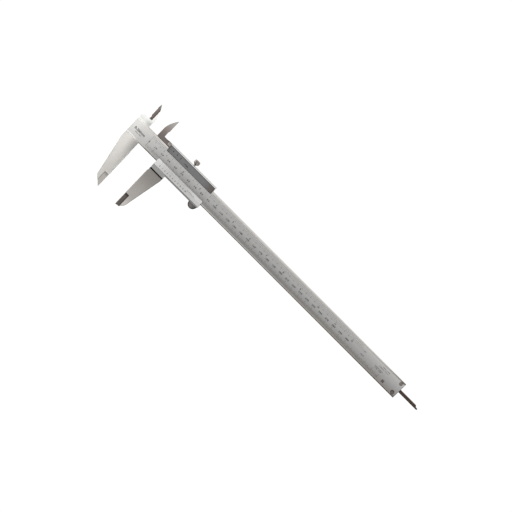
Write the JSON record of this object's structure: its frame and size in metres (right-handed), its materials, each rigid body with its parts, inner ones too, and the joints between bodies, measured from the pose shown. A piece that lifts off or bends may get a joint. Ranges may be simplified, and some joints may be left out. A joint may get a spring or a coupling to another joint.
{
  "type": "vernier caliper",
  "caption": "Vernier caliper with carbide-tipped outside and inside jaws, a sliding vernier with a thumb screw lock, and a depth bar along a graduated steel beam.",
  "frame": {"origin": "on the beam's back face, on its centre line, in the plane of the fixed outside measuring face", "axes": "+X along the beam towards its tail, +Y towards the inside jaws, +Z out of the graduated face"},
  "size_m": [0.4314, 0.1123, 0.0088],
  "materials": {
    "beam_steel": "satin chrome on hardened stainless steel",
    "slider_steel": "satin and ground stainless steel",
    "ground_steel": "ground stainless steel",
    "carbide": "ground tungsten carbide",
    "black_screws": "blackened steel",
    "small_screws": "turned steel",
    "bronze": "phosphor bronze",
    "knurled_steel": "knurled steel, slightly browned",
    "dark_steel": "blackened steel with a serrated rim",
    "bar_steel": "dark ground steel"
  },
  "bodies": {
    "beam": {"main_beam": "beam_steel", "fixed_outside_carbide": "carbide", "fixed_inside_carbide": "carbide", "tail_stop_plate": "ground_steel", "tail_stop_screws": "black_screws"},
    "slider": {"slider_body": "slider_steel", "movable_outside_carbide": "carbide", "movable_inside_carbide": "carbide", "slider_back_cover": "ground_steel", "back_cover_screws": "small_screws", "gib_strip": "bronze", "gib_set_screws": "small_screws", "thumb_rest": "dark_steel", "thumb_rest_pins": "small_screws", "depth_bar": "bar_steel", "depth_bar_anchor": "bar_steel", "depth_bar_anchor_screws": "small_screws", "depth_bar_pin": "small_screws"},
    "lock_shoe": {"lock_shoe": "bronze"},
    "lock_screw": {"lock_screw": "knurled_steel"}
  },
  "joints": [
    {"name": "slider_travel", "type": "slide", "parent": "beam", "child": "slider", "axis": [1, 0, 0], "range_m": [-0.02685, 0.2731]},
    {"name": "lock_shoe_travel", "type": "slide", "parent": "slider", "child": "lock_shoe", "axis": [0, 1, 0], "range_m": [-0.00025, 0.0005]},
    {"name": "lock_screw_turn", "type": "hinge", "parent": "lock_shoe", "child": "lock_screw", "pos_m": [0.0605, 0.0194, 0.002], "axis": [0, 1, 0], "range_deg": [-181, 361]}
  ],
  "couplings": [
    {"joint": "lock_screw_turn", "follows": "lock_shoe_travel", "rad_per_m": 12566}
  ]
}
